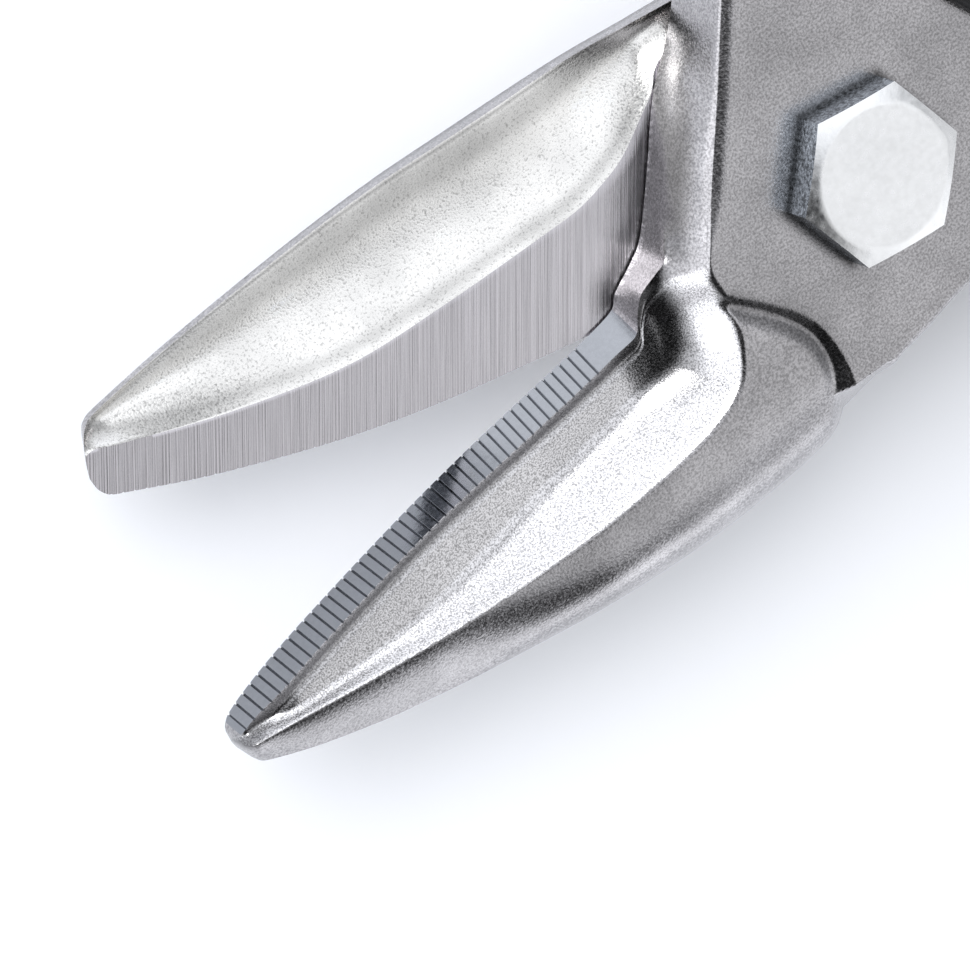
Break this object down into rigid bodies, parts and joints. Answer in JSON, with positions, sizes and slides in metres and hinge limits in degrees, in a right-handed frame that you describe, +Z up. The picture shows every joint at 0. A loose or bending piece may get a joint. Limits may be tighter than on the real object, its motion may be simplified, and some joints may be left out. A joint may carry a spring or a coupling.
{
  "type": "aviation snips",
  "caption": "Hand snips with compound action: serrated forged jaws on a hex pivot bolt, channel handles with moulded grips, a return spring and a swing latch.",
  "frame": {"origin": "on the axis of the pivot bolt, at the bolt's end face, in the plane that the tool rests on", "axes": "+X from the blade tips to the handles, +Y from the lower jaw to the upper jaw, +Z up the pivot bolt to its head"},
  "size_m": [0.2385, 0.1172, 0.0257],
  "materials": {
    "plated_jaw": "satin plated forging with ground edges",
    "zinc_fastener": "bright zinc plate",
    "black_steel": "black coated stamping",
    "spring_steel": "oiled spring wire",
    "red_grip": "moulded vinyl",
    "dark_pad": "soft textured pad"
  },
  "bodies": {
    "lower_jaw": {"lower_jaw": "plated_jaw", "pivot_bolt": "zinc_fastener", "pivot_nut": "zinc_fastener", "pivot_washer": "zinc_fastener", "lower_tail_rivet": "zinc_fastener", "lower_tail_washer_top": "zinc_fastener", "lower_tail_washer_bottom": "zinc_fastener"},
    "upper_jaw": {"upper_jaw": "plated_jaw", "upper_tail_rivet": "zinc_fastener"},
    "lower_handle": {"lower_handle": "black_steel", "lower_grip": "red_grip", "lower_grip_pad": "dark_pad", "handle_rivet": "zinc_fastener", "handle_pivot_spacer": "zinc_fastener", "return_spring": "spring_steel", "latch_rivet": "zinc_fastener"},
    "upper_handle": {"upper_handle": "black_steel", "upper_grip": "red_grip", "upper_grip_pad": "dark_pad", "latch_catch_pin": "zinc_fastener"},
    "latch": {"latch": "zinc_fastener"}
  },
  "joints": [
    {"name": "jaw_pivot", "type": "hinge", "parent": "lower_jaw", "child": "upper_jaw", "pos_m": [0, 0, 0.0115], "axis": [0, 0, 1], "range_deg": [0, 19.2], "stiffness_Nm_per_rad": 0.3, "springref_deg": -17.19},
    {"name": "lower_handle_hinge", "type": "hinge", "parent": "lower_jaw", "child": "lower_handle", "pos_m": [0.02159, -0.00743, 0.0115], "axis": [0, 0, 1], "range_deg": [0, 22.2]},
    {"name": "upper_handle_hinge", "type": "hinge", "parent": "upper_jaw", "child": "upper_handle", "pos_m": [0.02159, 0.00743, 0.0115], "axis": [0, 0, 1], "range_deg": [-22.2, 0]},
    {"name": "latch_swing", "type": "hinge", "parent": "lower_handle", "child": "latch", "pos_m": [0.04753, -0.009, 0.0239], "axis": [0, 0, 1], "range_deg": [0, 79.3]}
  ],
  "couplings": [
    {"joint": "lower_handle_hinge", "follows": "jaw_pivot", "ratio": 1.1521},
    {"joint": "upper_handle_hinge", "follows": "jaw_pivot", "ratio": -1.1521}
  ]
}
